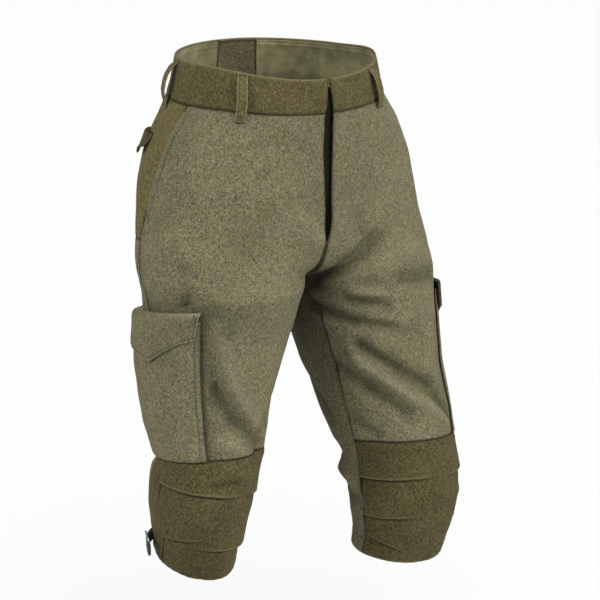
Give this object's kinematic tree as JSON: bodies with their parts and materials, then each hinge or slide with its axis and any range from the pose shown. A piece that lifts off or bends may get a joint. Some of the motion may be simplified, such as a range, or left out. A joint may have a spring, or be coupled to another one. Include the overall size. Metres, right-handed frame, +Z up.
{
  "type": "knee breeches",
  "caption": "Heavy wool knee breeches standing as if worn, with belt loops, cargo pockets with pointed flaps, dark knees and seat, and buckled hem straps.",
  "frame": {"origin": "middle of the waist, half way up the waistband, where the wearer holds the garment up", "axes": "+Z up the standing figure, -Y towards the wearer's front, +X towards the wearer's left"},
  "size_m": [0.4787, 0.3339, 0.7255],
  "materials": {
    "light_wool": "napped heather wool, light grey-olive",
    "dark_wool": "napped heather wool, dark olive-brown",
    "band_wool": "napped heather wool, olive-brown",
    "lining": "plain olive cotton",
    "inset_wool": "napped brown wool",
    "webbing": "ribbed dark green webbing",
    "tape": "dark woven tape",
    "steel": "satin steel wire"
  },
  "bodies": {
    "root": {"waistband_right": "band_wool", "waistband_left": "band_wool", "waist_facing_right": "lining", "waist_facing_left": "lining", "back_inset": "inset_wool", "front_right": "light_wool", "front_left": "light_wool", "seat_right": "dark_wool", "seat_left": "dark_wool", "back_leg_right": "light_wool", "back_leg_left": "light_wool", "knee_right": "dark_wool", "knee_left": "dark_wool", "cargo_pocket_right": "light_wool", "cargo_pocket_left": "light_wool", "cargo_flap_right": "light_wool", "cargo_flap_left": "light_wool", "hip_flap_right": "dark_wool", "hip_flap_left": "dark_wool", "fly_shield": "tape", "belt_loop_right_front": "band_wool", "belt_loop_right_back": "band_wool", "belt_loop_left_front": "band_wool", "belt_loop_left_back": "band_wool", "belt_loop_centre_back": "band_wool", "hem_strap_right": "webbing", "hem_strap_left": "webbing", "buckle_right": "steel", "buckle_left": "steel"}
  },
  "joints": []
}
